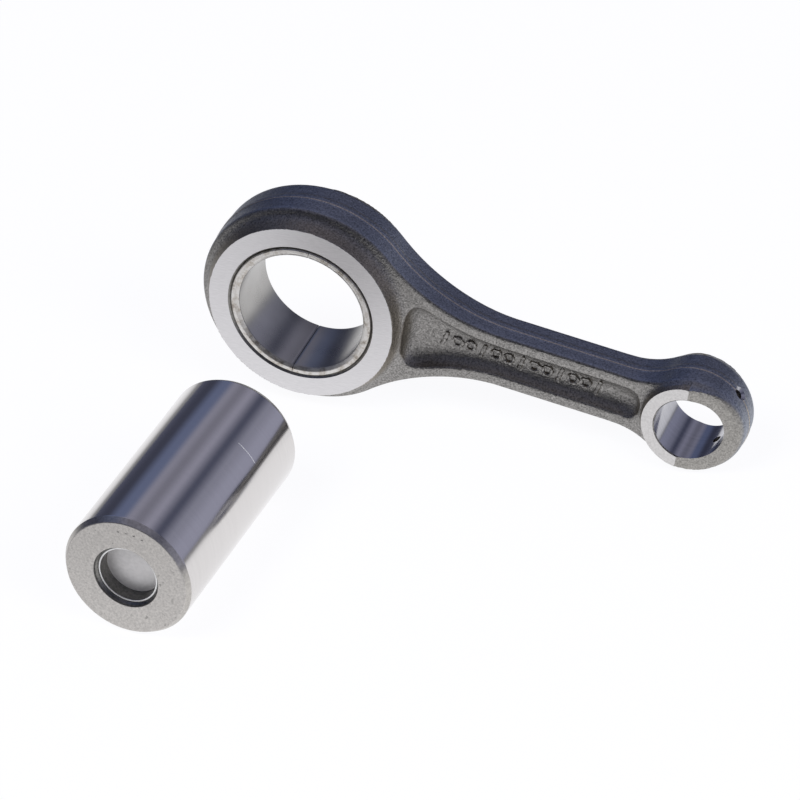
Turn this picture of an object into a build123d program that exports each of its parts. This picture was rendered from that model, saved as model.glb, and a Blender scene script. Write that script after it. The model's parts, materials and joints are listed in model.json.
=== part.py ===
"""Connecting rod kit: a one-piece forged rod with its big-end bearing and crank pin.

Row frame in millimetres: the origin is the centre of the big-end bore, Y runs along
the bore and Z is up. The rod stands on its narrow edge, so its long axis slopes down
from the big end to the small end. The crank pin lies beside the big end, on the same
surface. Every piece is first modelled about its own axis and then put in its place.
"""
import math
import os

from build123d import *

# Driving dimensions of the rod
CENTRES = 105.0
BIG_WIDTH = 21.6
SMALL_WIDTH = 17.4
BIG_OUTER_R = 28.8
SMALL_OUTER_R = 13.9
SHANK_HALF_HEIGHT = 7.5
SHANK_THICK = 9.8
WEB_THICK = 4.2
BIG_FLARE_R = 50.0
SMALL_FLARE_R = 18.0
FLASH_STAND = 0.3
FLASH_WIDTH = 1.8
DRAFT_DEG = 1.5

# Machined faces and bores of the rod
RING_R = 25.25
CREST_HALF = 5.4
RING_FOOT_R = 25.7
RELIEF_HALF_DEG = 27.0
BIG_BORE_R = 19.25
CRESCENT_R = 12.4
SMALL_CREST_HALF = 6.2
SMALL_BORE_R = 9.0
BIG_BORE_CHAMFER = 0.7
SMALL_BORE_CHAMFER = 0.3
TIP_TAPER_DEG = 12.0
TIP_START = 1.6
OIL_HOLE_R = 1.2
OIL_HOLE_ANGLES = (45.0, -45.0)

# Pocket between the flanges
FLANGE = 3.1
POCKET_LEFT = 27.2
POCKET_RIGHT = 91.0
POCKET_CORNER_R = 4.0
POCKET_DRAFT_DEG = 15.0

# Big-end bearing: two half shells
PIN_R = 17.0
RUNNING_CLEARANCE = 0.03
SHELL_WIDTH = 20.4
SHELL_SET_FORWARD = 0.55
SHELL_BEVEL = 1.0
SHELL_BEVEL_DEPTH = 0.65
SHELL_RELIEF = 0.25

# Crank pin and its two plugs
PIN_LENGTH = 65.6
PIN_CHAMFER = 1.0
PIN_BORE_R = 8.0
PIN_MOUTH_R = 8.6
PIN_MOUTH_DEPTH = 1.2
PLUG_SEAT_DEPTH = 9.0
PIN_GALLERY_R = 5.0
OIL_WAY_R = 1.5
INLET_FROM_END = 13.0
PLUG_DEPTH = 4.3
PLUG_WALL = 0.55
PLUG_DOME = 0.6

# Places: the slope that rests both ends on the surface, and the pin beside the big end
SURFACE_Z = -(BIG_OUTER_R + FLASH_STAND)
SLOPE_DEG = math.degrees(math.asin((BIG_OUTER_R - SMALL_OUTER_R) / CENTRES))
PIN_YAW_DEG = -3.0
PIN_CENTRE = (-4.4, -83.2, SURFACE_Z + PIN_R)


def about_y(profile):
    """Solid of revolution about Y from (radius, y) points of its half section."""
    return revolve(make_face(Polyline(*profile, close=True)), Axis.Y)


def outline(grow=0.0):
    """Rod profile in its own plane: two eyes joined by a flared shank."""
    half = SHANK_HALF_HEIGHT
    big = BIG_OUTER_R
    small = SMALL_OUTER_R
    left = math.sqrt((big + BIG_FLARE_R) ** 2 - (half + BIG_FLARE_R) ** 2)
    right = CENTRES - math.sqrt((small + SMALL_FLARE_R) ** 2 - (half + SMALL_FLARE_R) ** 2)
    big_share = big / (big + BIG_FLARE_R)
    small_share = small / (small + SMALL_FLARE_R)
    x_big = left * big_share
    z_big = (half + BIG_FLARE_R) * big_share
    x_small = CENTRES - (CENTRES - right) * small_share
    z_small = (half + SMALL_FLARE_R) * small_share

    def flare(x, z_centre, radius, x_a, z_a, x_b, z_b):
        mid_x = (x_a + x_b) / 2 - x
        mid_z = (z_a + z_b) / 2 - z_centre
        scale = radius / math.hypot(mid_x, mid_z)
        middle = (x + mid_x * scale, z_centre + mid_z * scale)
        return ThreePointArc((x_a, z_a), middle, (x_b, z_b))

    z_left = half + BIG_FLARE_R
    z_right = half + SMALL_FLARE_R
    edges = [
        ThreePointArc((x_big, -z_big), (-big, 0), (x_big, z_big)),
        flare(left, z_left, BIG_FLARE_R, x_big, z_big, left, half),
        Line((left, half), (right, half)),
        flare(right, z_right, SMALL_FLARE_R, right, half, x_small, z_small),
        ThreePointArc((x_small, z_small), (CENTRES + small, 0), (x_small, -z_small)),
        flare(right, -z_right, SMALL_FLARE_R, x_small, -z_small, right, -half),
        Line((right, -half), (left, -half)),
        flare(left, -z_left, BIG_FLARE_R, left, -half, x_big, -z_big),
    ]
    face = make_face(edges)
    if grow:
        face = offset(face, grow)
    return face


def on_side(sketch, height=0.0, side=1):
    """Places a flat sketch in the XZ plane, at a distance from the mid plane."""
    plane = Plane((0, side * height, 0), x_dir=(1, 0, 0), z_dir=(0, -1, 0))
    return plane * sketch


def big_eye():
    """Big-end forging: a ring face, a sloping shoulder, a crest and a drafted wall."""
    half = BIG_WIDTH / 2
    crest = BIG_OUTER_R - CREST_HALF * math.tan(math.radians(DRAFT_DEG))
    upper = [
        (RING_R, half),
        (RING_R + 0.4, half - 0.7),
        (crest - 0.9, CREST_HALF + 1.4),
        (crest, CREST_HALF),
        (BIG_OUTER_R, 0),
    ]
    lower = [(r, -y) for r, y in reversed(upper[:-1])]
    eye = about_y([(0, half)] + upper + lower + [(0, -half)])
    reach = BIG_OUTER_R + 10
    spread = reach * math.tan(math.radians(RELIEF_HALF_DEG))
    sector = make_face(Polyline((0, 0), (reach, spread), (reach, -spread), close=True))
    sector -= Circle(RING_FOOT_R)
    relief = extrude(on_side(sector, SHANK_THICK / -2), amount=half)
    eye -= relief
    eye -= mirror(relief, Plane.XZ)
    return eye


def small_eye():
    """Small-end forging: flat faces towards the shank, sloping ones at the tip."""
    half = SMALL_WIDTH / 2
    crest = SMALL_OUTER_R - SMALL_CREST_HALF * math.tan(math.radians(DRAFT_DEG))
    stepped = [(CRESCENT_R, half), (crest, SMALL_CREST_HALF), (SMALL_OUTER_R, 0)]
    stepped += [(crest, -SMALL_CREST_HALF), (CRESCENT_R, -half)]
    shank_side = about_y([(0, half)] + stepped + [(0, -half)])
    shank_side &= Pos(-TIP_START - 50, 0, 0) * Box(100, 40, 60)
    blunt = [(crest - 0.9, half), (crest, half - 1.2), (SMALL_OUTER_R, 0)]
    blunt += [(crest, 1.2 - half), (crest - 0.9, -half)]
    tip = about_y([(0, half)] + blunt + [(0, -half)])
    tip &= Pos(50 - TIP_START, 0, 0) * Box(100, 40, 60)
    for side in (1, -1):
        wedge = Pos(0, 10, 0) * Box(60, 20, 60, align=(Align.MIN, Align.CENTER, Align.CENTER))
        wedge = Pos(-TIP_START, half, 0) * Rot(Z=-TIP_TAPER_DEG) * wedge
        if side < 0:
            wedge = mirror(wedge, Plane.XZ)
        tip -= wedge
    return Pos(CENTRES, 0, 0) * (shank_side + tip)


def pocket(side):
    """One side's hollow between the flanges, wider towards its mouth."""
    depth = (SHANK_THICK - WEB_THICK) / 2
    slope_in = depth * math.tan(math.radians(POCKET_DRAFT_DEG))
    inner = offset(outline(), -(FLANGE + slope_in))
    length = POCKET_RIGHT - POCKET_LEFT - 2 * slope_in
    window = Pos((POCKET_LEFT + POCKET_RIGHT) / 2, 0) * Rectangle(length, 60)
    corner = POCKET_CORNER_R - slope_in
    core = offset((inner & window).face(), -corner)
    shape = offset(core, corner)
    solid = extrude(shape, amount=10, taper=-POCKET_DRAFT_DEG)
    solid = Plane((0, 0, 0), x_dir=(1, 0, 0), z_dir=(0, -1, 0)) * Pos(0, 0, WEB_THICK / 2) * solid
    if side > 0:
        solid = mirror(solid, Plane.XZ)
    return solid


def chamfered_bore(radius, width, chamfer_size):
    """Cutter for a through bore along Y with a chamfer at both mouths."""
    half = width / 2
    reach = half + 5
    wide = radius + chamfer_size
    top = [(radius, half - chamfer_size), (wide, half), (wide, reach)]
    bottom = [(wide, -reach), (wide, -half), (radius, chamfer_size - half)]
    return about_y([(0, reach)] + top[::-1] + bottom[::-1] + [(0, -reach)])


def oil_holes():
    """Two radial drillings at the tip, from the outside into the small bore."""
    drill = Cylinder(OIL_HOLE_R, 12, align=(Align.CENTER, Align.CENTER, Align.MIN))
    countersink = Cone(OIL_HOLE_R, OIL_HOLE_R + 1.0, 1.0)
    tools = []
    for angle in OIL_HOLE_ANGLES:
        aim = Pos(CENTRES, 0, 0) * Rot(Y=90 - angle)
        tools.append(aim * Pos(0, 0, SMALL_BORE_R - 2) * drill)
        tools.append(aim * Pos(0, 0, SMALL_OUTER_R) * countersink)
    return tools


def rod_forging():
    """The rod itself, before it is tilted to its resting slope."""
    flat = outline()
    shank = extrude(on_side(flat), amount=SHANK_THICK / 2, taper=DRAFT_DEG)
    shank += mirror(shank, Plane.XZ)
    flash = extrude(on_side(outline(FLASH_STAND)), amount=FLASH_WIDTH / 2, both=True)
    body = shank + big_eye() + small_eye() + flash
    for side in (1, -1):
        body -= pocket(side)
    body -= chamfered_bore(BIG_BORE_R, BIG_WIDTH, BIG_BORE_CHAMFER)
    body -= Pos(CENTRES, 0, 0) * chamfered_bore(SMALL_BORE_R, SMALL_WIDTH, SMALL_BORE_CHAMFER)
    for tool in oil_holes():
        body -= tool
    return body


def bearing_shell(side):
    """Half shell on the shank side (side 1) or on the outer side (side -1)."""
    half = SHELL_WIDTH / 2
    inner = PIN_R + RUNNING_CLEARANCE
    section = [
        (inner, half - SHELL_BEVEL_DEPTH),
        (inner + SHELL_BEVEL, half),
        (BIG_BORE_R - 0.2, half),
        (BIG_BORE_R, half - 0.2),
        (BIG_BORE_R, 0.2 - half),
        (BIG_BORE_R - 0.2, -half),
        (inner + SHELL_BEVEL, -half),
        (inner, SHELL_BEVEL_DEPTH - half),
    ]
    ring = Pos(0, -SHELL_SET_FORWARD, 0) * about_y(section)
    keep = Pos(side * 30, 0, 0) * Box(60, 60, 60)
    shell = ring & keep
    for top in (1, -1):
        relief = Pos(0, 0, top * inner) * Rot(Y=45) * Box(SHELL_RELIEF * 2, 60, SHELL_RELIEF * 2)
        shell -= relief
    return shell


def crank_pin():
    """Hollow ground pin with a plug seat in each end and two radial oil ways."""
    half = PIN_LENGTH / 2
    section = [
        (PIN_GALLERY_R, 0),
        (PIN_GALLERY_R, half - PLUG_SEAT_DEPTH),
        (PIN_BORE_R, half - PLUG_SEAT_DEPTH),
        (PIN_BORE_R, half - PIN_MOUTH_DEPTH),
        (PIN_MOUTH_R, half - PIN_MOUTH_DEPTH + 0.6),
        (PIN_MOUTH_R, half),
        (PIN_R - PIN_CHAMFER, half),
        (PIN_R, half - PIN_CHAMFER * 1.6),
        (PIN_R, 0),
    ]
    mirrored = [(r, -y) for r, y in reversed(section[1:-1])]
    pin = about_y(section + mirrored)
    drill = Cylinder(OIL_WAY_R, PIN_R + 2, align=(Align.CENTER, Align.CENTER, Align.MIN))
    for along in (0, half - INLET_FROM_END):
        pin -= Pos(0, along, 0) * Rot(Y=180) * drill
    return pin


def pin_plug(end):
    """Pressed cup plug: open towards the pin's end, with a shallow domed floor."""
    front = PIN_LENGTH / 2 - PIN_MOUTH_DEPTH
    back = front - PLUG_DEPTH
    inner = PIN_BORE_R - PLUG_WALL
    floor = back + PLUG_WALL
    crown = floor + PLUG_DOME
    edges = [
        Line((0, back), (0, crown)),
        ThreePointArc((0, crown), (inner / 2, floor + PLUG_DOME * 0.75), (inner, floor)),
        Polyline(
            (inner, floor),
            (inner, front),
            (PIN_BORE_R - 0.2, front),
            (PIN_BORE_R, front - 0.2),
            (PIN_BORE_R, back + 0.8),
            (PIN_BORE_R - 0.8, back),
            (0, back),
        ),
    ]
    plug = revolve(make_face(edges), Axis.Y)
    if end < 0:
        plug = mirror(plug, Plane.XZ)
    return plug


def placed_pieces():
    """Every node's name with its solid in the row frame."""
    on_edge = Rot(Y=SLOPE_DEG)
    beside = Pos(*PIN_CENTRE) * Rot(Z=PIN_YAW_DEG)
    return {
        "rod_forging": on_edge * rod_forging(),
        "bearing_shell_shank_side": on_edge * bearing_shell(1),
        "bearing_shell_outer_side": on_edge * bearing_shell(-1),
        "crank_pin": beside * crank_pin(),
        "pin_plug_front": beside * pin_plug(-1),
        "pin_plug_rear": beside * pin_plug(1),
    }


def main():
    os.makedirs("parts", exist_ok=True)
    for node, solid in placed_pieces().items():
        export_step(solid, os.path.join("parts", node + ".step"))


main()
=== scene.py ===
"""Looks of the connecting rod kit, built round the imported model.

The rod is a detailed forging made here, because a forging's blends, trimmed flash and
blasted skin are mesh work. The forging is a signed-distance shape, sampled on a grid
and turned into a mesh, and then machined by booleans, as the real one is.
Lengths inside the shape functions are in millimetres, in the rod's own frame: X from
the big end to the small end, Y along the bores, Z across the rod.
"""
import json
import math

import bmesh
import bpy
import numpy as np
from mathutils import Matrix, Vector


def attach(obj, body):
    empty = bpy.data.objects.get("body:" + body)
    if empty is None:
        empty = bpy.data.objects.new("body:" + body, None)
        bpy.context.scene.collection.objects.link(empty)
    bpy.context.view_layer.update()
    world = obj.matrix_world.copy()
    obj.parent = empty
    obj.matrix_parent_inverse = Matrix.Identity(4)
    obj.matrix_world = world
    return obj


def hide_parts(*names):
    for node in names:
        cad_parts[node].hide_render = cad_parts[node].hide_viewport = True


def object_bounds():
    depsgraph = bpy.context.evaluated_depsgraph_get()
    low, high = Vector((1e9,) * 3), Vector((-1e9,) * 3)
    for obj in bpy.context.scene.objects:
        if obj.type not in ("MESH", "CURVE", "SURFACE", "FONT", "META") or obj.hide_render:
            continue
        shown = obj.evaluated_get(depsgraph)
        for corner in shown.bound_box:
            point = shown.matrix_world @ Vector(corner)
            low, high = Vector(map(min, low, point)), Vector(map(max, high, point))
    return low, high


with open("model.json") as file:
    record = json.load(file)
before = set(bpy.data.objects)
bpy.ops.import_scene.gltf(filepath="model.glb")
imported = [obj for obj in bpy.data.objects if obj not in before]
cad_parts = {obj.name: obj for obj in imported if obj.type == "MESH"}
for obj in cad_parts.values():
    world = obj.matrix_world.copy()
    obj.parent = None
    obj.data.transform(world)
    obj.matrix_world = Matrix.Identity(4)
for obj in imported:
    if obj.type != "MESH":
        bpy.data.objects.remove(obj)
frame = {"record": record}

cad_low, cad_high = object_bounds()
MM = 0.001
mounts = {m["name"]: m for m in frame["record"]["mounts"]}

# ---------------------------------------------------------------- driving dimensions
small_at = Vector(mounts["small_end_bore"]["pos_m"]) / MM
CENTRES = small_at.length
SLOPE = math.atan2(-small_at.z, small_at.x)
TILT = Matrix.Rotation(SLOPE, 4, "Y")
SMALL_BORE_R = mounts["small_end_bore"]["dims"]["r_mm"]
LINING_R = mounts["big_end_bearing"]["dims"]["r_mm"]
SURFACE_Z = cad_low.z

BIG_R = 28.8
SMALL_R = 13.9
HALF = 7.5
BIG_FLARE = 50.0
SMALL_FLARE = 18.0
BIG_FLARE_X = math.sqrt((BIG_R + BIG_FLARE) ** 2 - (HALF + BIG_FLARE) ** 2)
SMALL_FLARE_X = CENTRES - math.sqrt((SMALL_R + SMALL_FLARE) ** 2 - (HALF + SMALL_FLARE) ** 2)
DRAFT = math.tan(math.radians(1.5))

RING_R = 25.25
RING_HALF = 10.8
RING_FALL = 1.15
BIG_BORE_R = 19.25
CRESCENT_R = 12.3
CRESCENT_HALF = 8.7
CRESCENT_FALL = 0.75
TIP_START = CENTRES - 1.6
TIP_TAPER = math.tan(math.radians(12.0))
LAND = 4.85
WEB = 1.9
FLANGE = 2.9
POCKET_LEFT = 26.9
POCKET_RIGHT = 91.0
POCKET_DRAFT = 0.3
FLASH_HALF = 0.85
OIL_HOLE_R = 1.2
OIL_HOLE_ANGLES = (45, -45)
FLASH_STAND = 0.14
CREST_ROUND = 1.0
TIP_ROUND = 1.4
POCKET_ROUND = 4.0
MARK_COUNT = 13
MARK_PITCH = 3.5
MARK_SINK = 0.65
GRID = 0.45

SHELL_FRONT = -10.75
SHELL_BACK = 9.65
SHELL_BEVEL = 1.0
SHELL_BEVEL_DEPTH = 0.65
SPLIT_RELIEF = 0.25
SPLIT_GAP_ANGLE = 0.004
SHELL_ROUND = 0.18

journal = mounts["crank_pin_journal"]
PIN_YAW = math.atan2(journal["axis"][0], -journal["axis"][1])
PIN_R = journal["dims"]["r_mm"]
PIN_CHAMFER = 1.0
PIN_CHAMFER_LENGTH = 1.6
PIN_HALF = journal["dims"]["length_mm"] / 2 + PIN_CHAMFER_LENGTH
PIN_BORE_R = 8.0
PIN_MOUTH_R = 8.6
PIN_MOUTH_DEPTH = 1.2
PIN_GALLERY_R = 5.0
PLUG_SEAT_DEPTH = 9.0
OIL_WAY_R = 1.5
INLET_FROM_END = 13.0
SCRATCH_AT = PIN_HALF - 20.8
SCRATCH_HALF = 0.08
SCRATCH_MIDDLE = 40.5
SCRATCH_SPREAD = 11.5
PIN_ROUND = 0.2
PUNCH_CIRCLE_R = 13.7
PUNCH_ANGLES = (69, 78.5, 87, 96)
PLUG_DEPTH = 4.3
PLUG_WALL = 0.55
PLUG_DOME = 0.3
PLUG_BEND = 0.15

EARTH = (1, 0.97, 0.94)
RUBBED = (1.1, 0.97, 0.8)


# ---------------------------------------------------------------- the forging's shape
def round_max(a, b, k):
    """The larger of two distances, with the edge between them rounded over about k."""
    h = np.maximum(k - np.abs(a - b), 0) / k
    return np.maximum(a, b) + h * h * k / 4


def round_min(a, b, k):
    return -round_max(-a, -b, k)


def fade(v):
    """0 below 0, 1 above 1 and smooth between."""
    v = np.clip(v, 0, 1)
    return v * v * (3 - 2 * v)


def outline(x, z):
    """Distance outside the rod's profile, for z at or above 0."""
    big = np.hypot(x, z) - BIG_R
    small = np.hypot(x - CENTRES, z) - SMALL_R
    big_flare = BIG_FLARE - np.hypot(x - BIG_FLARE_X, z - HALF - BIG_FLARE)
    small_flare = SMALL_FLARE - np.hypot(x - SMALL_FLARE_X, z - HALF - SMALL_FLARE)
    on_big = BIG_FLARE_X * z > (HALF + BIG_FLARE) * x
    on_small = (SMALL_FLARE_X - CENTRES) * z < (HALF + SMALL_FLARE) * (x - CENTRES)
    right = np.where(x < SMALL_FLARE_X, z - HALF, np.where(on_small, small, small_flare))
    return np.where(on_big, big, np.where(x < BIG_FLARE_X, big_flare, right))


def raised_marks(x, z):
    """Distance outside a row of generic raised marks: slanted bars and rings by turns."""
    best = np.full_like(x, 99.0)
    for i in range(MARK_COUNT):
        at = 37.0 + MARK_PITCH * i
        if i % 3:
            one = np.abs(np.hypot(x - at, z) - 1.25) - 0.38
        else:
            along = np.clip(z, -1.8, 1.8)
            one = np.hypot(x - at - 0.25 * along, z - along) - 0.5
        best = np.minimum(best, one)
    return best


def forging(p):
    """Signed distance of the rod as forged, before machining."""
    x, y, z = p[:, 0], p[:, 1], p[:, 2]
    t = np.abs(y)
    side = np.abs(z)
    edge = outline(x, side)
    r_big = np.hypot(x, z)
    r_small = np.hypot(x - CENTRES, z)
    land = LAND + 0.25 + 0.85 * fade((54 - x) / 28) + 0.9 * fade((x - 82) / 15)
    ring_rise = np.exp(-np.maximum(r_big - RING_R, 0) / RING_FALL)
    ring_top = RING_HALF + np.clip(0.4 * (RING_R - r_big), 0, 0.7)
    tip = fade((x - TIP_START) / 12)
    face_r = CRESCENT_R + 1.1 * tip
    face_top = np.minimum(CRESCENT_HALF + 0.5, CRESCENT_HALF - (x - TIP_START) * TIP_TAPER)
    face_rise = np.exp(-np.maximum(r_small - face_r, 0) / CRESCENT_FALL)
    height = land + (ring_top - land) * ring_rise + (face_top - land) * face_rise
    steep = (ring_top - land) * ring_rise / RING_FALL * (r_big > RING_R)
    steep = steep + (face_top - land) * face_rise / CRESCENT_FALL * (r_small > face_r)
    face = (t - height) / np.sqrt(1 + steep * steep)
    full = 0.12 + 0.24 * fade((x - 2) / 20) * fade((100 - x) / 10)
    wall = edge + t * DRAFT - full
    body = round_max(face, wall, CREST_ROUND + TIP_ROUND * fade((x - CENTRES + 2) / 10))
    flash = round_max(edge - full - FLASH_STAND, t - FLASH_HALF, 0.15)
    body = round_min(body, flash, 0.15)
    inner = round_max(round_max(edge + FLANGE, POCKET_LEFT - x, 7.0), x - POCKET_RIGHT, 5.0)
    inner = inner + np.maximum(land - t, 0) * POCKET_DRAFT
    pocket = round_max(inner, WEB - t, POCKET_ROUND)
    body = round_max(body, -pocket, 0.4)
    marks = round_max(raised_marks(x, z), -pocket - MARK_SINK, 0.25)
    marks = np.where(y < 0, marks, 99.0)
    return round_min(body, marks, 0.2)


# ---------------------------------------------------------------- meshing
def sample(shape, low, high, step):
    axes = [np.arange(a, b, step) for a, b in zip(low, high)]
    field = np.empty([len(a) for a in axes])
    yy, zz = np.meshgrid(axes[1], axes[2], indexing="ij")
    for i, x in enumerate(axes[0]):
        p = np.stack([np.full(yy.size, x), yy.ravel(), zz.ravel()], 1)
        field[i] = shape(p).reshape(yy.shape)
    return field


def surface_net(field, low, step):
    """Quad mesh of the zero level: one vertex in each cell that the level crosses."""
    inside = field < 0
    cells = tuple(n - 1 for n in field.shape)
    place = np.zeros(cells + (3,))
    count = np.zeros(cells)
    for axis in range(3):
        u, v = (axis + 1) % 3, (axis + 2) % 3
        for du in (0, 1):
            for dv in (0, 1):
                near = [slice(0, -1)] * 3
                near[u] = slice(du, field.shape[u] - 1 + du)
                near[v] = slice(dv, field.shape[v] - 1 + dv)
                far = list(near)
                far[axis] = slice(1, None)
                f0, f1 = field[tuple(near)], field[tuple(far)]
                crossed = (f0 < 0) != (f1 < 0)
                share = np.where(crossed, f0 / np.where(crossed, f0 - f1, 1), 0)
                count += crossed
                place[..., axis] += share
                place[..., u] += du * crossed
                place[..., v] += dv * crossed
    used = count > 0
    index = np.full(cells, -1)
    index[used] = np.arange(used.sum())
    points = np.array(low) + step * (np.argwhere(used) + place[used] / count[used][:, None])
    quads = []
    for axis in range(3):
        u, v = (axis + 1) % 3, (axis + 2) % 3
        near = [slice(1, -1)] * 3
        near[axis] = slice(0, -1)
        far = list(near)
        far[axis] = slice(1, None)
        starts, ends = inside[tuple(near)], inside[tuple(far)]
        for crossed, order in ((starts & ~ends, 1), (ends & ~starts, -1)):
            at = np.argwhere(crossed)
            ring = []
            for du, dv in ((0, 0), (1, 0), (1, 1), (0, 1)):
                c = at.copy()
                c[:, u] += du
                c[:, v] += dv
                ring.append(index[c[:, 0], c[:, 1], c[:, 2]])
            quads.append(np.stack(ring, 1)[:, ::order])
    return points, np.concatenate(quads)


def settle(points, shape, rounds=3):
    """Moves points along the shape's gradient onto its surface."""
    e = 0.02
    for _ in range(rounds):
        d = shape(points)
        g = np.empty_like(points)
        for axis in range(3):
            nudge = np.zeros(3)
            nudge[axis] = e
            g[:, axis] = (shape(points + nudge) - shape(points - nudge)) / (2 * e)
        move = g * (d / np.maximum((g * g).sum(1), 0.05))[:, None]
        points = points - np.clip(move, -GRID, GRID)
    return points


def new_object(name, points, faces):
    mesh = bpy.data.meshes.new(name)
    faces = [tuple(int(i) for i in f) for f in faces]
    mesh.from_pydata([tuple(p) for p in points], [], faces)
    mesh.validate()
    piece = bpy.data.objects.new(name, mesh)
    bpy.context.scene.collection.objects.link(piece)
    return piece


def turned(name, profile, sides):
    """Closed solid turned about Y from (radius, y) points; a radius of 0 is a pole."""
    points, rings = [], []
    for r, y in profile:
        if r == 0:
            rings.append([len(points)] * sides)
            points.append((0, y, 0))
            continue
        rings.append(list(range(len(points), len(points) + sides)))
        for i in range(sides):
            a = 2 * math.pi * i / sides
            points.append((r * math.cos(a), y, r * math.sin(a)))
    faces = []
    for j, ring in enumerate(rings):
        after = rings[(j + 1) % len(rings)]
        for i in range(sides):
            k = (i + 1) % sides
            face = []
            for corner in (ring[i], ring[k], after[k], after[i]):
                if corner not in face:
                    face.append(corner)
            if len(face) > 2:
                faces.append(face)
    return new_object(name, points, faces)


def rounded(corners, radius, steps=4):
    """The closed section with each corner rounded over about the radius."""
    section = []
    for i, corner in enumerate(corners):
        here = Vector(corner)
        before = Vector(corners[i - 1]) - here
        after = Vector(corners[(i + 1) % len(corners)]) - here
        if corner[0] == 0:
            section.append(corner)
            continue
        reach = min(radius, before.length * 0.4, after.length * 0.4)
        start = here + before.normalized() * reach
        end = here + after.normalized() * reach
        for k in range(steps + 1):
            f = k / steps
            point = start * (1 - f) ** 2 + here * 2 * f * (1 - f) + end * f * f
            section.append((point.x, point.y))
    return section


def block(name, low, high):
    points = [(x, y, z) for x in (low[0], high[0]) for y in (low[1], high[1]) for z in (low[2], high[2])]
    faces = [(0, 1, 3, 2), (4, 6, 7, 5), (0, 4, 5, 1), (2, 3, 7, 6), (0, 2, 6, 4), (1, 5, 7, 3)]
    return new_object(name, points, faces)


def cut(piece, tool):
    """Machines piece with tool, and throws the tool away."""
    modifier = piece.modifiers.new("cut", "BOOLEAN")
    modifier.operation = "DIFFERENCE"
    modifier.solver = "MANIFOLD"
    modifier.object = tool
    bpy.context.view_layer.objects.active = piece
    bpy.ops.object.modifier_apply(modifier=modifier.name)
    bpy.data.objects.remove(tool)


def outward(piece):
    """Turns every face of a closed mesh to look outwards."""
    bm = bmesh.new()
    bm.from_mesh(piece.data)
    bmesh.ops.recalc_face_normals(bm, faces=bm.faces)
    bm.to_mesh(piece.data)
    bm.free()
    return piece


def bore_tool(radius, half, chamfer, x):
    wide = radius + chamfer
    reach = half + 6
    profile = [(0, -reach), (wide, -reach), (wide, -half), (radius, chamfer - half)]
    profile += [(radius, half - chamfer), (wide, half), (wide, reach), (0, reach)]
    tool = turned("bore_tool", profile, 256)
    tool.data.transform(Matrix.Translation((x, 0, 0)))
    return outward(tool)


def oil_hole_tool(angle):
    profile = [(0, SMALL_BORE_R - 3), (OIL_HOLE_R, SMALL_BORE_R - 3), (OIL_HOLE_R, SMALL_R - 0.6)]
    profile += [(OIL_HOLE_R + 1.8, SMALL_R + 1.2), (0, SMALL_R + 1.2)]
    tool = turned("oil_hole_tool", profile, 48)
    turn = Matrix.Rotation(math.radians(-90), 4, "Z")
    aim = Matrix.Rotation(math.radians(-angle), 4, "Y")
    tool.data.transform(Matrix.Translation((CENTRES, 0, 0)) @ aim @ turn)
    return outward(tool)


def make_rod():
    low, high = (-31.0, -12.6, -31.0), (CENTRES + 16, 12.6, 31.0)
    points, quads = surface_net(sample(forging, low, high, GRID), low, GRID)
    points = settle(points, forging)
    rod = new_object("rod", points, quads)
    for side in (-1, 1):
        far = side * 20
        big = sorted((side * RING_HALF, far))
        small = sorted((side * CRESCENT_HALF, far))
        cut(rod, outward(block("face_tool", (-40, big[0], -40), (40, big[1], 40))))
        cut(rod, outward(block("face_tool", (80, small[0], -20), (130, small[1], 20))))
    cut(rod, bore_tool(BIG_BORE_R, RING_HALF, 0.7, 0))
    cut(rod, bore_tool(SMALL_BORE_R, CRESCENT_HALF, 0.3, CENTRES))
    for angle in OIL_HOLE_ANGLES:
        cut(rod, oil_hole_tool(angle))
    return rod


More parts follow.
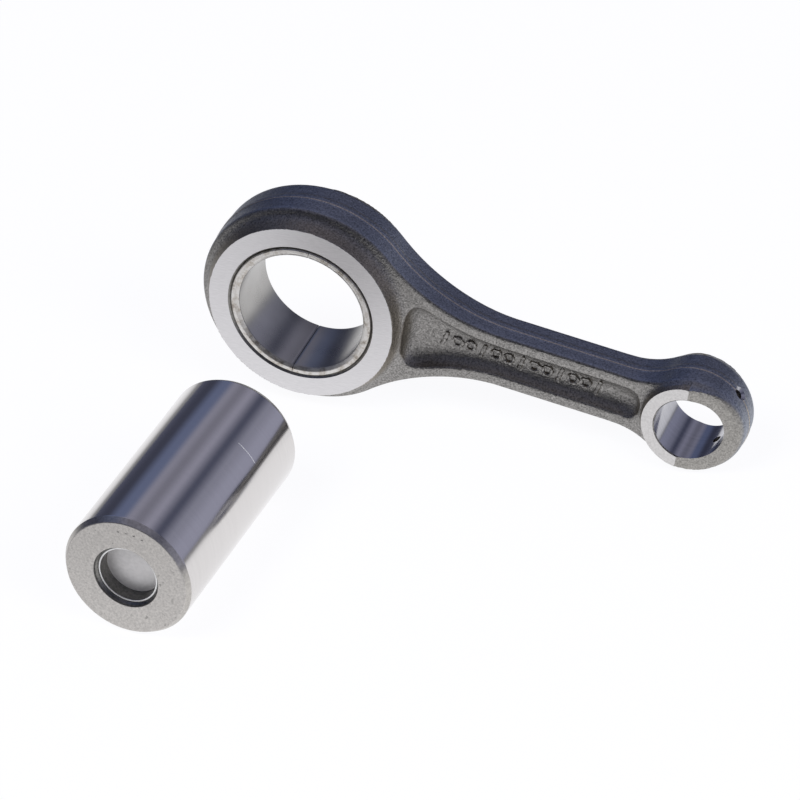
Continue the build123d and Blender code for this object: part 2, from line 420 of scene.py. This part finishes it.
# ---------------------------------------------------------------- materials
class Nodes:
    """Small helper for building a material's node tree."""

    def __init__(self, name):
        self.material = bpy.data.materials.new(name)
        self.material.use_nodes = True
        self.tree = self.material.node_tree
        self.shader = self.tree.nodes["Principled BSDF"]
        self.coordinates = self.tree.nodes.new("ShaderNodeTexCoord").outputs["Object"]

    def node(self, kind, **settings):
        made = self.tree.nodes.new(kind)
        for key, value in settings.items():
            setattr(made, key, value)
        return made

    def link(self, source, target):
        self.tree.links.new(source, target)

    def scaled(self, scale):
        mapping = self.node("ShaderNodeMapping")
        self.link(self.coordinates, mapping.inputs["Vector"])
        mapping.inputs["Scale"].default_value = scale
        return mapping.outputs["Vector"]

    def round_pin(self, scale):
        """Coordinates scaled in the pin's own directions, Y along the pin."""
        mapping = self.node("ShaderNodeMapping", vector_type="TEXTURE")
        self.link(self.coordinates, mapping.inputs["Vector"])
        mapping.inputs["Rotation"].default_value = (0, 0, PIN_YAW)
        mapping.inputs["Scale"].default_value = [1 / s for s in scale]
        return mapping.outputs["Vector"]

    def noise(self, scale, detail=3.0, roughness=0.5, vector=None):
        made = self.node("ShaderNodeTexNoise")
        made.inputs["Scale"].default_value = scale
        made.inputs["Detail"].default_value = detail
        made.inputs["Roughness"].default_value = roughness
        self.link(vector or self.coordinates, made.inputs["Vector"])
        return made.outputs["Fac"]

    def ramp(self, factor, stops):
        made = self.node("ShaderNodeValToRGB")
        elements = made.color_ramp.elements
        while len(elements) < len(stops):
            elements.new(0.5)
        for element, (at, colour) in zip(elements, stops):
            element.position = at
            element.color = (*colour, 1)
        self.link(factor, made.inputs["Fac"])
        return made.outputs["Color"]

    def span(self, factor, low, high):
        made = self.node("ShaderNodeMapRange")
        made.inputs["To Min"].default_value = low
        made.inputs["To Max"].default_value = high
        self.link(factor, made.inputs["Value"])
        return made.outputs["Result"]

    def mix(self, factor, first, second):
        made = self.node("ShaderNodeMix", data_type="RGBA")
        self.link(factor, made.inputs[0])
        self.link(first, made.inputs[6])
        self.link(second, made.inputs[7])
        return made.outputs[2]

    def plain(self, colour):
        made = self.node("ShaderNodeRGB")
        made.outputs["Color"].default_value = (*colour, 1)
        return made.outputs["Color"]

    def facing_bore(self, low, high):
        """1 where the surface faces along the bores, 0 where it faces away from them."""
        normal = self.node("ShaderNodeTexCoord").outputs["Normal"]
        split = self.node("ShaderNodeSeparateXYZ")
        self.link(normal, split.inputs["Vector"])
        size = self.node("ShaderNodeMath", operation="ABSOLUTE")
        self.link(split.outputs["Y"], size.inputs[0])
        made = self.node("ShaderNodeMapRange", interpolation_type="SMOOTHSTEP")
        made.inputs["From Min"].default_value = low
        made.inputs["From Max"].default_value = high
        self.link(size.outputs["Value"], made.inputs["Value"])
        return made.outputs["Result"]

    def flash_lines(self):
        """1 along the two edges of the trimmed flash, 0 elsewhere."""
        split = self.node("ShaderNodeSeparateXYZ")
        self.link(self.coordinates, split.inputs["Vector"])
        size = self.node("ShaderNodeMath", operation="ABSOLUTE")
        self.link(split.outputs["Y"], size.inputs[0])
        made = self.node("ShaderNodeMath", operation="COMPARE")
        self.link(size.outputs["Value"], made.inputs[0])
        made.inputs[1].default_value = FLASH_HALF * MM
        made.inputs[2].default_value = 0.13 * MM
        return made.outputs["Value"]

    def bump(self, height, strength, distance, under=None):
        made = self.node("ShaderNodeBump")
        made.inputs["Strength"].default_value = strength
        made.inputs["Distance"].default_value = distance
        self.link(height, made.inputs["Height"])
        if under:
            self.link(under, made.inputs["Normal"])
        return made.outputs["Normal"]

    def finish(self, colour, roughness, normal=None, metallic=1.0):
        self.shader.inputs["Metallic"].default_value = metallic
        self.link(colour, self.shader.inputs["Base Color"])
        self.link(roughness, self.shader.inputs["Roughness"])
        if normal:
            self.link(normal, self.shader.inputs["Normal"])
        return self.material


def grey(value, tint=(1, 1, 1)):
    return tuple(value * t for t in tint)


def forged_grain(m):
    """Shot-blasted skin: roughness and normal, with the fine grain that colours follow."""
    grain = m.noise(2300, 2, 0.55)
    coarse = m.noise(700, 2, 0.5)
    normal = m.bump(grain, 0.6, 0.00025, m.bump(coarse, 0.35, 0.0004))
    return grain, m.span(coarse, 0.36, 0.5), normal


def side_colour(m, grain):
    """Bluish tint on the sides, a painted reflection of the blue room, with the two edges of the trimmed
    flash rubbed bare.
    """
    # Painted reflection: the blue of the room put into the colour of the sides.
    tint = (0.92, 0.99, 1.16)
    painted_blue_reflection = m.ramp(grain, [(0.3, grey(0.19, tint)), (0.7, grey(0.42, tint))])
    bare = m.ramp(grain, [(0.3, grey(0.36, RUBBED)), (0.7, grey(0.68, RUBBED))])
    return m.mix(m.flash_lines(), painted_blue_reflection, bare)


def forged_side():
    """The trimmed outer side of the forging, up to and over its crest."""
    m = Nodes("forged_side")
    grain, roughness, normal = forged_grain(m)
    side = side_colour(m, grain)
    face = m.ramp(grain, [(0.3, grey(0.15, EARTH)), (0.7, grey(0.40, EARTH))])
    # Faces turned across the bores get the bluish painted reflection; faces along the bores the plain
    # grey.
    return m.finish(m.mix(m.facing_bore(0.3, 0.7), side, face), roughness, normal)


def forged_face():
    """Blasted forging inside the crest: flanges, web and the shoulder round the ring, with painted
    shade: slopes turned away from the bores are coloured darker and warmer.
    """
    m = Nodes("forged_face")
    grain, roughness, normal = forged_grain(m)
    warm = (1.08, 0.97, 0.82)
    slope_painted_shade = m.ramp(grain, [(0.3, grey(0.16, warm)), (0.7, grey(0.36, warm))])
    face = m.ramp(grain, [(0.3, grey(0.15, EARTH)), (0.7, grey(0.42, EARTH))])
    return m.finish(m.mix(m.facing_bore(0.3, 0.8), slope_painted_shade, face), roughness, normal)


def ground_face():
    m = Nodes("ground_face")
    lines = m.noise(1.0, 2, 0.6, m.scaled((450, 450, 5000)))
    colour = m.ramp(lines, [(0.3, grey(0.66, (1, 0.985, 1))), (0.7, grey(0.76, (1, 0.985, 1)))])
    return m.finish(colour, m.span(lines, 0.38, 0.5), m.bump(lines, 0.12, 0.00005))


def crescent_face():
    m = Nodes("crescent_face")
    grain = m.noise(1800, 2, 0.6)
    colour = m.ramp(grain, [(0.3, grey(0.58, (1, 0.98, 0.97))), (0.7, grey(0.72, (1, 0.98, 0.97)))])
    return m.finish(colour, m.span(grain, 0.38, 0.5), m.bump(grain, 0.15, 0.00008))


def tip_face():
    """Tapered tip of the small end: rubbed lighter on its face, with the bluish painted reflection down
    its side.
    """
    m = Nodes("tip_face")
    grain, roughness, normal = forged_grain(m)
    tint = (1, 0.965, 0.91)
    face = m.ramp(grain, [(0.3, grey(0.24, tint)), (0.7, grey(0.46, tint))])
    return m.finish(m.mix(m.facing_bore(0.3, 0.7), side_colour(m, grain), face), roughness, normal)


def bored_steel():
    m = Nodes("bored_steel")
    lines = m.noise(1.0, 2, 0.5, m.scaled((60, 2500, 60)))
    tint = (0.97, 0.97, 1.05)
    colour = m.ramp(lines, [(0.3, grey(0.42, tint)), (0.7, grey(0.48, tint))])
    return m.finish(colour, m.span(lines, 0.12, 0.19), m.bump(lines, 0.04, 0.00002))


def dark_edge():
    """Inner chamfers and cup walls: turned and dull, coloured dark as painted shade inside the holes and
    cups.
    """
    m = Nodes("dark_edge")
    grain = m.noise(1500, 2, 0.5)
    tint = (1, 0.98, 0.93)
    colour = m.ramp(grain, [(0.3, grey(0.17, tint)), (0.7, grey(0.28, tint))])
    return m.finish(colour, m.span(grain, 0.28, 0.38), m.bump(grain, 0.2, 0.00008))


def turned_edge():
    """The pin's outer chamfer, turned and lightly tumbled."""
    m = Nodes("turned_edge")
    grain = m.noise(1500, 2, 0.5)
    tint = (1.02, 0.98, 0.92)
    colour = m.ramp(grain, [(0.3, grey(0.40, tint)), (0.7, grey(0.56, tint))])
    return m.finish(colour, m.span(grain, 0.25, 0.36), m.bump(grain, 0.2, 0.00008))


def lining_metal():
    m = Nodes("lining_metal")
    clouds = m.noise(120, 2, 0.5)
    colour = m.ramp(clouds, [(0.3, grey(0.37, (1, 0.98, 0.95))), (0.7, grey(0.44, (1, 0.98, 0.95)))])
    lines = m.noise(1.0, 2, 0.5, m.scaled((40, 1800, 40)))
    return m.finish(colour, m.span(clouds, 0.24, 0.32), m.bump(lines, 0.04, 0.00002))


def shell_edge():
    """Sheared end faces of the shells: mottled, with brown and dark flecks."""
    m = Nodes("shell_edge")
    patches = m.noise(520, 4, 0.65)
    stops = [
        (0.30, (0.30, 0.27, 0.24)),
        (0.40, (0.50, 0.47, 0.43)),
        (0.50, (0.64, 0.62, 0.60)),
        (0.70, (0.74, 0.73, 0.71)),
    ]
    return m.finish(m.ramp(patches, stops), m.span(patches, 0.3, 0.5), m.bump(patches, 0.5, 0.0002))


def ground_pin():
    m = Nodes("ground_pin")
    lines = m.noise(1.0, 2, 0.5, m.round_pin((40, 2500, 40)))
    colour = m.ramp(lines, [(0.3, grey(0.64, (1, 0.97, 0.955))), (0.7, grey(0.665, (1, 0.97, 0.955)))])
    return m.finish(colour, m.span(lines, 0.125, 0.14))


def scratched():
    """A fine handling scratch across the pin's ground surface."""
    m = Nodes("scratched")
    breaks = m.noise(600, 2, 0.5)
    colour = m.ramp(breaks, [(0.35, grey(0.75)), (0.6, grey(0.95))])
    return m.finish(colour, m.span(breaks, 0.5, 0.7), metallic=0.1)


def pin_end():
    """Matt sawn and tumbled end face, warm grey with dark specks."""
    m = Nodes("pin_end")
    grain = m.noise(1700, 3, 0.6)
    specks = m.noise(700, 2, 0.5)
    fine = m.ramp(grain, [(0.3, grey(0.46, (1, 0.965, 0.925))), (0.7, grey(0.71, (1, 0.965, 0.925)))])
    dark = grey(0.36, (1, 0.97, 0.93))
    mask = m.ramp(specks, [(0.25, (0, 0, 0)), (0.31, (1, 1, 1))])
    colour = m.mix(mask, m.plain(dark), fine)
    return m.finish(colour, m.span(grain, 0.42, 0.6), m.bump(grain, 0.35, 0.00012))


def plug_sheet():
    m = Nodes("plug_sheet")
    grain = m.noise(900, 2, 0.5)
    colour = m.ramp(grain, [(0.3, grey(0.68, (1, 0.98, 0.98))), (0.7, grey(0.79, (1, 0.98, 0.98)))])
    return m.finish(colour, m.span(grain, 0.42, 0.5), m.bump(grain, 0.08, 0.00005), 0.5)


def bright_rim():
    # Painted highlight: the rolled rim is coloured lighter than the cup for its glint.
    m = Nodes("bright_rim")
    grain = m.noise(1200, 2, 0.5)
    colour = m.ramp(grain, [(0.3, grey(0.75)), (0.7, grey(0.9))])
    return m.finish(colour, m.span(grain, 0.4, 0.5))


# ---------------------------------------------------------------- dressing the pieces
def face_arrays(mesh):
    """Centre and normal of every face."""
    count = len(mesh.polygons)
    centre = np.empty(count * 3)
    normal = np.empty(count * 3)
    mesh.polygons.foreach_get("center", centre)
    mesh.polygons.foreach_get("normal", normal)
    return centre.reshape(-1, 3), normal.reshape(-1, 3)


def dress(piece, finishes, slot, flat, angle=32):
    """Gives the piece its finishes by face, flat shading where flat, smooth elsewhere."""
    mesh = piece.data
    mesh.materials.clear()
    for finish in finishes:
        mesh.materials.append(finish)
    mesh.polygons.foreach_set("material_index", slot)
    mesh.set_sharp_from_angle(angle=math.radians(angle))
    mesh.polygons.foreach_set("use_smooth", ~flat)


def in_countersink(centre, normal, angle):
    """True for the faces of an oil hole's countersink in the small end."""
    axis = np.array((math.cos(angle), 0, math.sin(angle)))
    from_bore = centre - (CENTRES, 0, 0)
    along = from_bore @ axis
    off = np.linalg.norm(from_bore - along[:, None] * axis, axis=1)
    return (off < OIL_HOLE_R + 0.9) & (along > SMALL_R - 0.65) & (normal @ axis < 0.85)


def dress_rod(rod):
    """Gives each face of the rod the finish of the operation that made it."""
    finishes = [forged_side(), ground_face(), crescent_face(), tip_face(), bored_steel()]
    centre, normal = face_arrays(rod.data)
    t = np.abs(centre[:, 1])
    r_big = np.hypot(centre[:, 0], centre[:, 2])
    r_small = np.hypot(centre[:, 0] - CENTRES, centre[:, 2])
    facing = np.abs(normal[:, 1])
    slot = np.zeros(len(centre), int)
    slot[(np.abs(t - RING_HALF) < 0.01) & (facing > 0.99)] = 1
    slot[(np.abs(t - CRESCENT_HALF) < 0.01) & (facing > 0.995) & (r_small < 20)] = 2
    flat = slot > 0
    on_tip = (t > FLASH_HALF + 1) & (r_small < SMALL_R + 0.4)
    slot[on_tip & (slot == 0) & (centre[:, 0] > TIP_START)] = 3
    slot[(r_small < SMALL_BORE_R + 0.05) & (facing < 0.2)] = 4
    # The big bore and its chamfer take the dark painted shade of a hole.
    slot[(r_big < BIG_BORE_R + 0.8) & (facing < 0.9)] = 5
    slot[(outline(centre[:, 0], np.abs(centre[:, 2])) < -0.9) & (slot == 0)] = 6
    for angle in OIL_HOLE_ANGLES:
        slot[in_countersink(centre, normal, math.radians(angle))] = 4
    dress(rod, finishes + [dark_edge(), forged_face()], slot, flat)


def place_on_edge(piece):
    """From the rod's own frame in millimetres to the row frame in metres."""
    piece.data.transform(Matrix.Scale(MM, 4) @ TILT)
    piece.data.update()


def make_shell(name, side):
    """Half shell with a bevelled mouth, rough sheared faces and eased split edges."""
    corners = [
        (LINING_R, SHELL_BACK - SHELL_BEVEL_DEPTH),
        (LINING_R, SHELL_FRONT + SHELL_BEVEL_DEPTH),
        (LINING_R + SHELL_BEVEL, SHELL_FRONT),
        (BIG_BORE_R - 0.25, SHELL_FRONT),
        (BIG_BORE_R - 0.01, SHELL_FRONT + 0.35),
        (BIG_BORE_R - 0.01, SHELL_BACK - 0.35),
        (BIG_BORE_R - 0.25, SHELL_BACK),
        (LINING_R + SHELL_BEVEL, SHELL_BACK),
    ]
    section = rounded(corners, SHELL_ROUND)
    spans = 144
    reach = math.pi / 2 - SPLIT_GAP_ANGLE
    angles = np.linspace(-reach, reach, spans + 1)
    points, faces = [], []
    size = len(section)
    for a in angles:
        ease = max(0.0, 1 - (math.pi / 2 - abs(a)) * LINING_R / SPLIT_RELIEF)
        for r, y in section:
            r = max(r, LINING_R + SPLIT_RELIEF * ease)
            points.append((side * r * math.cos(a), y, r * math.sin(a)))
    for i in range(spans):
        for j in range(size):
            k = (j + 1) % size
            near, far = i * size, (i + 1) * size
            faces.append((near + j, near + k, far + k, far + j))
    faces.append(tuple(range(size)))
    faces.append(tuple(range(spans * size, (spans + 1) * size)))
    shell = outward(new_object(name, points, faces))
    centre, normal = face_arrays(shell.data)
    slot = np.where(np.abs(normal[:, 1]) > 0.7, 1, 0)
    slot[np.hypot(centre[:, 0], centre[:, 2]) > BIG_BORE_R - 0.3] = 1
    slot[np.abs(centre[:, 0]) < 0.06] = 1
    dress(shell, [lining_metal(), shell_edge()], slot, np.abs(normal[:, 1]) > 0.999, 40)
    place_on_edge(shell)
    return shell


def place_on_pin_axis(piece):
    """From the pin's own frame in millimetres, Y along the pin, to the row frame."""
    turn = Matrix.Rotation(PIN_YAW, 4, "Z")
    middle = Matrix.Translation(Vector(journal["pos_m"]))
    piece.data.transform(middle @ turn @ Matrix.Scale(MM, 4))
    piece.data.update()


def make_pin():
    """Ground pin with turned chamfers, plug seats, two oil ways and four punch dots."""
    mouth = PIN_HALF - PIN_MOUTH_DEPTH
    seat = PIN_HALF - PLUG_SEAT_DEPTH
    half = [
        (PIN_GALLERY_R, seat),
        (PIN_BORE_R, seat),
        (PIN_BORE_R, mouth),
        (PIN_MOUTH_R, mouth + 0.6),
        (PIN_MOUTH_R, PIN_HALF),
        (PIN_R - PIN_CHAMFER, PIN_HALF),
        (PIN_R, PIN_HALF - PIN_CHAMFER_LENGTH),
    ]
    corners = half + [(r, -y) for r, y in reversed(half)]
    section = rounded(corners, PIN_ROUND)
    # The scratch's two edges go in after the last point of the section's full radius.
    first = max(i for i, point in enumerate(section) if point[0] == max(section)[0] and point[1] > 0)
    scratch = [(PIN_R, SCRATCH_AT + SCRATCH_HALF), (PIN_R, SCRATCH_AT - SCRATCH_HALF)]
    section[first + 1:first + 1] = scratch
    pin = outward(turned("crank_pin_ground", section, 256))
    for along in (0, PIN_HALF - INLET_FROM_END):
        cut(pin, oil_way_tool(along))
    for degrees in PUNCH_ANGLES:
        cut(pin, punch_tool(math.radians(degrees)))
    centre, normal = face_arrays(pin.data)
    r = np.hypot(centre[:, 0], centre[:, 2])
    end = PIN_HALF - np.abs(centre[:, 1])
    flat = (end < 0.01) & (np.abs(normal[:, 1]) > 0.99)
    slot = np.where(end < PIN_CHAMFER_LENGTH - 0.1, 2, 0)
    slot[end < 0.35] = 1
    slot[r < PIN_R - PIN_CHAMFER - 0.5] = 1
    slot[r < PIN_MOUTH_R + 0.1] = 3
    turn = np.degrees(np.arctan2(centre[:, 2], centre[:, 0]))
    scored = np.abs(centre[:, 1] - SCRATCH_AT) < SCRATCH_HALF - 0.01
    scored = scored & (np.abs(turn - SCRATCH_MIDDLE) < SCRATCH_SPREAD)
    slot[scored & (r > PIN_R - 0.1)] = 4
    # Slot 3, inside the pin's bore and mouth, takes the dark painted shade.
    finishes = [ground_pin(), pin_end(), turned_edge(), dark_edge(), scratched()]
    dress(pin, finishes, slot, flat, 40)
    place_on_pin_axis(pin)
    return pin


def oil_way_tool(along):
    profile = [(0, 0), (OIL_WAY_R, 0), (OIL_WAY_R, PIN_R - 0.4), (OIL_WAY_R + 1.5, PIN_R + 1.1)]
    tool = turned("oil_way_tool", profile + [(0, PIN_R + 1.1)], 48)
    down = Matrix.Rotation(math.radians(-90), 4, "X")
    tool.data.transform(Matrix.Translation((0, along, 0)) @ down)
    return outward(tool)


def punch_tool(angle):
    tool = turned("punch_tool", [(0, 0.14), (0.25, 0.1), (0.45, 0.0), (0.5, -0.3), (0, -0.3)], 20)
    x, z = PUNCH_CIRCLE_R * math.cos(angle), PUNCH_CIRCLE_R * math.sin(angle)
    tool.data.transform(Matrix.Translation((x, -PIN_HALF, z)))
    return outward(tool)


def make_plug(name, end):
    """Pressed cup with a rolled rim, coloured lighter as a painted highlight, and a shallow domed floor.
    """
    rim = PIN_HALF - PIN_MOUTH_DEPTH
    back = rim - PLUG_DEPTH
    inner = PIN_BORE_R - PLUG_WALL
    outer = PIN_BORE_R - 0.02
    floor = back + PLUG_WALL
    dome = [(0, floor + PLUG_DOME)]
    for k in range(1, 13):
        r = (inner - PLUG_BEND) * k / 12
        dome.append((r, floor + PLUG_DOME * (1 - (r / inner) ** 2)))
    start = dome[-1][1]
    for k in range(1, 7):
        a = math.pi / 2 * k / 6
        dome.append((inner - PLUG_BEND * (1 - math.sin(a)), start + PLUG_BEND * (1 - math.cos(a))))
    dome += [(inner, rim - 0.14), (inner + 0.05, rim - 0.05), (inner + 0.12, rim)]
    dome += [(outer - 0.12, rim), (outer - 0.04, rim - 0.05), (outer, rim - 0.14)]
    under = [(outer, back + 0.9), (outer - 0.3, back + 0.25), (outer - 0.9, back), (0, back)]
    section = [(r, end * y) for r, y in dome + under]
    plug = outward(turned(name, section, 128))
    centre, normal = face_arrays(plug.data)
    up = end * centre[:, 1]
    r = np.hypot(centre[:, 0], centre[:, 2])
    # Slot 2, the cup's inner wall and bend, takes the dark painted shade.
    slot = np.where(r > inner - PLUG_BEND * 1.05, 2, 0)
    slot[up > rim - 0.15] = 1
    dress(plug, [plug_sheet(), bright_rim(), dark_edge()], slot, np.zeros(len(centre), bool), 50)
    place_on_pin_axis(plug)
    return plug


def stand_for(piece, node, body):
    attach(piece, body)
    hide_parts(node)


rod = make_rod()
dress_rod(rod)
place_on_edge(rod)
stand_for(rod, "rod_forging", "rod")
shank_shell = make_shell("shell_shank_side", 1)
stand_for(shank_shell, "bearing_shell_shank_side", "rod")
outer_shell = make_shell("shell_outer_side", -1)
stand_for(outer_shell, "bearing_shell_outer_side", "rod")
stand_for(make_pin(), "crank_pin", "crank_pin")
stand_for(make_plug("plug_front", -1), "pin_plug_front", "crank_pin")
stand_for(make_plug("plug_rear", 1), "pin_plug_rear", "crank_pin")


# ---------------------------------------------------------------- floor, light, camera
def make_floor():
    """White table: plain white to look at, and as bright as a lit patch in reflections."""
    floor = new_object("floor", [(-6, -6, 0), (6, -6, 0), (6, 6, 0), (-6, 6, 0)], [(0, 1, 2, 3)])
    floor.location = (0.03, -0.03, SURFACE_Z)
    m = Nodes("pale_table")
    m.shader.inputs["Base Color"].default_value = (0.1, 0.1, 0.1, 1)
    m.shader.inputs["Roughness"].default_value = 0.8
    m.shader.inputs["Specular IOR Level"].default_value = 0.0
    m.shader.inputs["Emission Color"].default_value = (0.985, 0.985, 1, 1)
    distance = m.node("ShaderNodeVectorMath", operation="LENGTH")
    m.link(m.coordinates, distance.inputs[0])
    fall = m.node("ShaderNodeMapRange", interpolation_type="SMOOTHERSTEP")
    fall.inputs["From Min"].default_value = 0.0
    fall.inputs["From Max"].default_value = 0.42
    fall.inputs["To Min"].default_value = 1.0
    fall.inputs["To Max"].default_value = 0.25
    m.link(distance.outputs["Value"], fall.inputs["Value"])
    path = m.node("ShaderNodeLightPath")
    level = m.node("ShaderNodeMix", data_type="FLOAT")
    m.link(path.outputs["Is Camera Ray"], level.inputs["Factor"])
    m.link(fall.outputs["Result"], level.inputs["A"])
    level.inputs["B"].default_value = 0.945
    m.link(level.outputs["Result"], m.shader.inputs["Emission Strength"])
    floor.data.materials.append(m.material)


LAVENDER = (0.75, 0.77, 1.0)
PALE = (0.78, 0.78, 1.0)
BLUE = (0.5, 0.6, 1.0)
SLATE = (0.6, 0.65, 1.0)

# The room that the metal sees, in degrees round Y from level right, over the top. Each
# feature is even from its first angle to its second and fades into the next.
ROOM = [
    (-180, -10, 0.2, SLATE),
    (5, 20, 0.5, LAVENDER),
    (35, 40, 0.4, LAVENDER),
    (55, 60, 0.15, SLATE),
    (76, 80, 0.45, PALE),
    (92, 98, 0.3, PALE),
    (108, 112, 0.4, PALE),
    (122, 134, 0.3, BLUE),
    (150, 160, 0.1, SLATE),
    (178, 180, 0.15, SLATE),
]


def soft_step(tree, source, span, low, high):
    """A smooth change from low to high while the source goes over the span."""
    made = tree.nodes.new("ShaderNodeMapRange")
    made.interpolation_type = "SMOOTHSTEP"
    made.inputs["From Min"].default_value = span[0]
    made.inputs["From Max"].default_value = span[1]
    made.inputs["To Min"].default_value = low
    made.inputs["To Max"].default_value = high
    tree.links.new(source, made.inputs["Value"])
    return made.outputs["Result"]


def make_world():
    """Walls and strip lights that run along Y, dimmer far in front and far behind."""
    world = bpy.data.worlds.new("room")
    bpy.context.scene.world = world
    world.use_nodes = True
    tree = world.node_tree
    background = tree.nodes["Background"]
    coordinates = tree.nodes.new("ShaderNodeTexCoord")
    split = tree.nodes.new("ShaderNodeSeparateXYZ")
    tree.links.new(coordinates.outputs["Generated"], split.inputs["Vector"])
    angle = tree.nodes.new("ShaderNodeMath")
    angle.operation = "ARCTAN2"
    tree.links.new(split.outputs["Z"], angle.inputs[0])
    tree.links.new(split.outputs["X"], angle.inputs[1])
    turn = tree.nodes.new("ShaderNodeMapRange")
    turn.inputs["From Min"].default_value = -math.pi
    turn.inputs["From Max"].default_value = math.pi
    tree.links.new(angle.outputs["Value"], turn.inputs["Value"])
    stops = []
    for start, end, level, tint in ROOM:
        stops += [(start, grey(level, tint)), (end, grey(level, tint))]
    ramp = tree.nodes.new("ShaderNodeValToRGB")
    elements = ramp.color_ramp.elements
    while len(elements) < len(stops):
        elements.new(0.5)
    for element, (degrees, colour) in zip(elements, stops):
        element.position = 0.5 + degrees / 360
        element.color = (*colour, 1)
    tree.links.new(turn.outputs["Result"], ramp.inputs["Fac"])
    back = soft_step(tree, split.outputs["Y"], (0.8, 0.87), 1.0, 0.25)
    front = soft_step(tree, split.outputs["Y"], (-0.8, -0.42), 0.08, 1.0)
    both = tree.nodes.new("ShaderNodeMath")
    both.operation = "MULTIPLY"
    tree.links.new(back, both.inputs[0])
    tree.links.new(front, both.inputs[1])
    tree.links.new(both.outputs["Value"], background.inputs["Strength"])
    tree.links.new(ramp.outputs["Color"], background.inputs["Color"])


def make_light(name, place, size, power):
    """Soft area light aimed at the origin and not seen in reflections."""
    data = bpy.data.lights.new(name, "AREA")
    data.size = size
    data.energy = power
    lamp = bpy.data.objects.new(name, data)
    lamp.location = place
    lamp.rotation_euler = (-Vector(place)).to_track_quat("-Z", "Y").to_euler()
    lamp.visible_glossy = False
    bpy.context.scene.collection.objects.link(lamp)


# The camera's place in metres, and its turn round Z, tip down and roll in degrees.
CAMERA_AT = (0.39109, -1.00866, 0.71627)
CAMERA_TURN = 20.039
CAMERA_DOWN = 34.772
CAMERA_ROLL = -0.704


def make_camera():
    data = bpy.data.cameras.new("camera")
    data.lens = 225.0
    data.sensor_width = 36.0
    camera = bpy.data.objects.new("camera", data)
    aim = Matrix.Rotation(math.radians(CAMERA_TURN), 4, "Z")
    tip = Matrix.Rotation(math.radians(90 - CAMERA_DOWN), 4, "X")
    roll = Matrix.Rotation(math.radians(CAMERA_ROLL), 4, "Z")
    camera.matrix_world = Matrix.Translation(CAMERA_AT) @ aim @ tip @ roll
    data.clip_start = 0.05
    data.clip_end = 20
    bpy.context.scene.collection.objects.link(camera)
    bpy.context.scene.camera = camera


make_camera()
make_floor()
make_world()
make_light("key", (-0.5, -1.0, 1.4), 0.8, 12)
make_light("fill", (1.2, -0.6, 0.9), 0.8, 8)
bpy.context.scene.view_settings.view_transform = "Standard"
